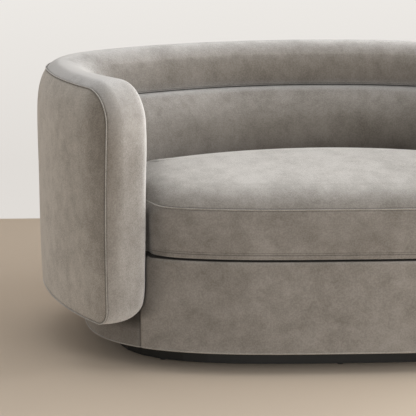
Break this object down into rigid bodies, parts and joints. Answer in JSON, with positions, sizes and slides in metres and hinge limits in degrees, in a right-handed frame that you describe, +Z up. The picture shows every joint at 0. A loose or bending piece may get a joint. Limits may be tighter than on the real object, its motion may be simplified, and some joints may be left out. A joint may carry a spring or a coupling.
{
  "type": "curved loveseat sofa",
  "caption": "Low curved sofa: a thick upholstered shell bends round an oval base on a recessed plinth, with channelled back rolls and a loose seat cushion.",
  "frame": {"origin": "on the floor under the middle of the sofa's overall box", "axes": "+X to the right as seen from the front, +Y to the back, +Z up; the seat faces -Y"},
  "size_m": [1.567, 0.9056, 0.74],
  "materials": {
    "velvet": "soft short-pile velvet, brushed",
    "plywood": "bare plywood",
    "black_paint": "satin black paint",
    "liner": "non-woven lining cloth",
    "webbing": "woven elastic webbing",
    "nylon": "moulded nylon"
  },
  "bodies": {
    "sofa": {"arm_post_left": "plywood", "arm_post_right": "plywood", "base_board": "plywood", "base_front_cover": "velvet", "base_side_cover": "velvet", "dust_cover": "liner", "edge_band": "velvet", "floor_glide_1": "nylon", "floor_glide_2": "nylon", "floor_glide_3": "nylon", "floor_glide_4": "nylon", "floor_glide_5": "nylon", "floor_glide_6": "nylon", "inner_lining": "velvet", "lower_back_roll": "velvet", "outer_panel": "velvet", "platform_bearer_centre": "plywood", "platform_bearer_left": "plywood", "platform_bearer_right": "plywood", "platform_rim_front": "plywood", "platform_rim_left": "plywood", "platform_rim_rear": "plywood", "platform_rim_right": "plywood", "platform_top": "plywood", "plinth_brace_left": "black_paint", "plinth_brace_right": "black_paint", "plinth_front": "black_paint", "plinth_left": "black_paint", "plinth_rear": "black_paint", "plinth_right": "black_paint", "seat_deck": "liner", "seat_rail_front": "plywood", "seat_rail_left": "plywood", "seat_rail_rear": "plywood", "seat_rail_right": "plywood", "shell_bottom_rail": "plywood", "shell_piping": "velvet", "shell_rib_1": "plywood", "shell_rib_2": "plywood", "shell_rib_3": "plywood", "shell_rib_4": "plywood", "shell_rib_5": "plywood", "shell_rib_6": "plywood", "shell_rib_7": "plywood", "shell_rib_8": "plywood", "shell_rib_9": "plywood", "shell_top_rail": "plywood", "upper_back_roll": "velvet", "webbing_crosswise_1": "webbing", "webbing_crosswise_2": "webbing", "webbing_crosswise_3": "webbing", "webbing_lengthwise_1": "webbing", "webbing_lengthwise_2": "webbing", "webbing_lengthwise_3": "webbing", "webbing_lengthwise_4": "webbing", "webbing_lengthwise_5": "webbing"},
    "seat_cushion": {"seat_cushion": "velvet", "cushion_piping": "velvet", "cushion_zip": "liner"}
  },
  "joints": [
    {"name": "cushion_lift", "type": "slide", "parent": "sofa", "child": "seat_cushion", "axis": [0, 0, 1], "range_m": [0, 0.5]}
  ]
}
